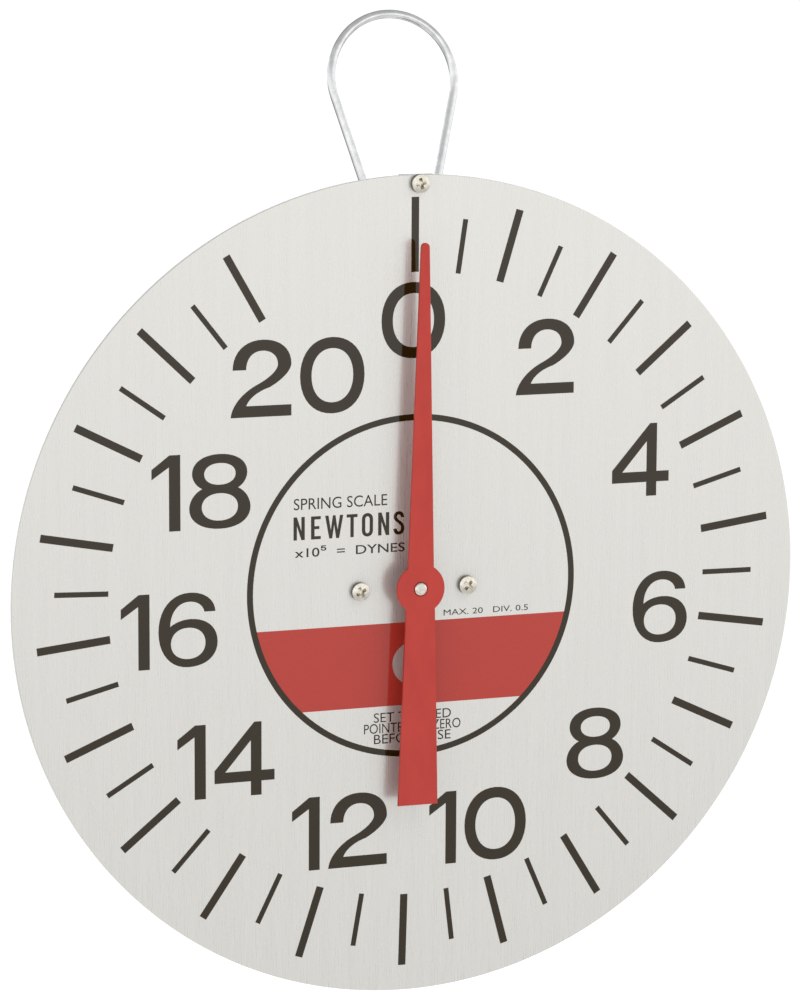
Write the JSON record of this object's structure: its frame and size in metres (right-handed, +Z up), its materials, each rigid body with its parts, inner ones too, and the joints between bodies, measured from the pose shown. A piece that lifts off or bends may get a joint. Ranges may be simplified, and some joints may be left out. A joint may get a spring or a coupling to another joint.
{
  "type": "dial spring scale",
  "caption": "Hanging dial spring scale: wire bail, large round force dial with a red sweep pointer, slim rear housing with spring, rack and pinion, and a small load hook.",
  "frame": {"origin": "the hanging point: underside of the bail's wire at the top of its loop", "axes": "+X to the right of someone reading the dial, +Y away from the reader, square to the dial, +Z up along the dial"},
  "size_m": [0.3048, 0.0447, 0.3642],
  "materials": {
    "zinc_wire": "bright zinc-plated wire",
    "brushed_dial": "vertically brushed aluminium with printed black scale",
    "nickel_screw": "nickel plate",
    "plated_steel": "zinc plate",
    "brass": "turned brass",
    "housing_enamel": "grey hammered enamel",
    "cast_cap": "as-cast and tumbled",
    "nylon": "natural nylon",
    "spring_steel": "oiled music wire",
    "rubber": "black rubber",
    "red_paint": "red satin paint",
    "dial_ink": "screen-printed dial marks",
    "red_print": "screen-printed red band"
  },
  "bodies": {
    "hanger": {"hanging_bail": "zinc_wire"},
    "case": {"dial_plate": "brushed_dial", "dial_screws": "nickel_screw", "bridge_plate": "plated_steel", "front_bush": "brass", "rear_bush": "brass", "rear_housing": "housing_enamel", "top_cap": "cast_cap", "bottom_cap": "cast_cap", "case_screws": "nickel_screw", "rack_guide": "nylon", "spring_plug_top": "plated_steel", "main_spring": "spring_steel", "rod_bush": "nylon", "buffer_washer": "rubber"},
    "carriage": {"spring_plug_bottom": "plated_steel", "rack_yoke": "plated_steel", "rack": "brass", "rack_rivets": "plated_steel", "load_rod": "plated_steel", "rod_nuts": "plated_steel", "overload_stop": "brass", "hook_fork": "plated_steel", "hook_pin": "plated_steel"},
    "hook": {"load_hook": "zinc_wire"},
    "arbor": {"pinion_shaft": "nickel_screw", "pinion": "brass", "shaft_collar": "brass", "friction_washer": "brass"},
    "pointer": {"pointer": "red_paint", "pointer_hub": "plated_steel"}
  },
  "joints": [
    {"name": "case_swing", "type": "hinge", "parent": "hanger", "child": "case", "pos_m": [0, -0.01737, -0.07561], "axis": [1, 0, 0], "range_deg": [-32, 85]},
    {"name": "load_slide", "type": "slide", "parent": "case", "child": "carriage", "axis": [0, 0, -1], "range_m": [0, 0.028], "stiffness_N_per_m": 723.4, "springref_m": -0.00098, "deforming": ["main_spring"]},
    {"name": "pinion_turn", "type": "hinge", "parent": "case", "child": "arbor", "pos_m": [0, -0.01737, -0.20561], "axis": [0, 1, 0], "range_deg": [0, 335]},
    {"name": "pointer_set", "type": "hinge", "parent": "arbor", "child": "pointer", "pos_m": [0, -0.02938, -0.20561], "axis": [0, 1, 0], "continuous": true},
    {"name": "hook_swing", "type": "hinge", "parent": "carriage", "child": "hook", "pos_m": [0, -0.01737, -0.33811], "axis": [0, 1, 0], "range_deg": [-60, 60]}
  ],
  "couplings": [
    {"joint": "pinion_turn", "follows": "load_slide", "rad_per_m": 208.33}
  ]
}
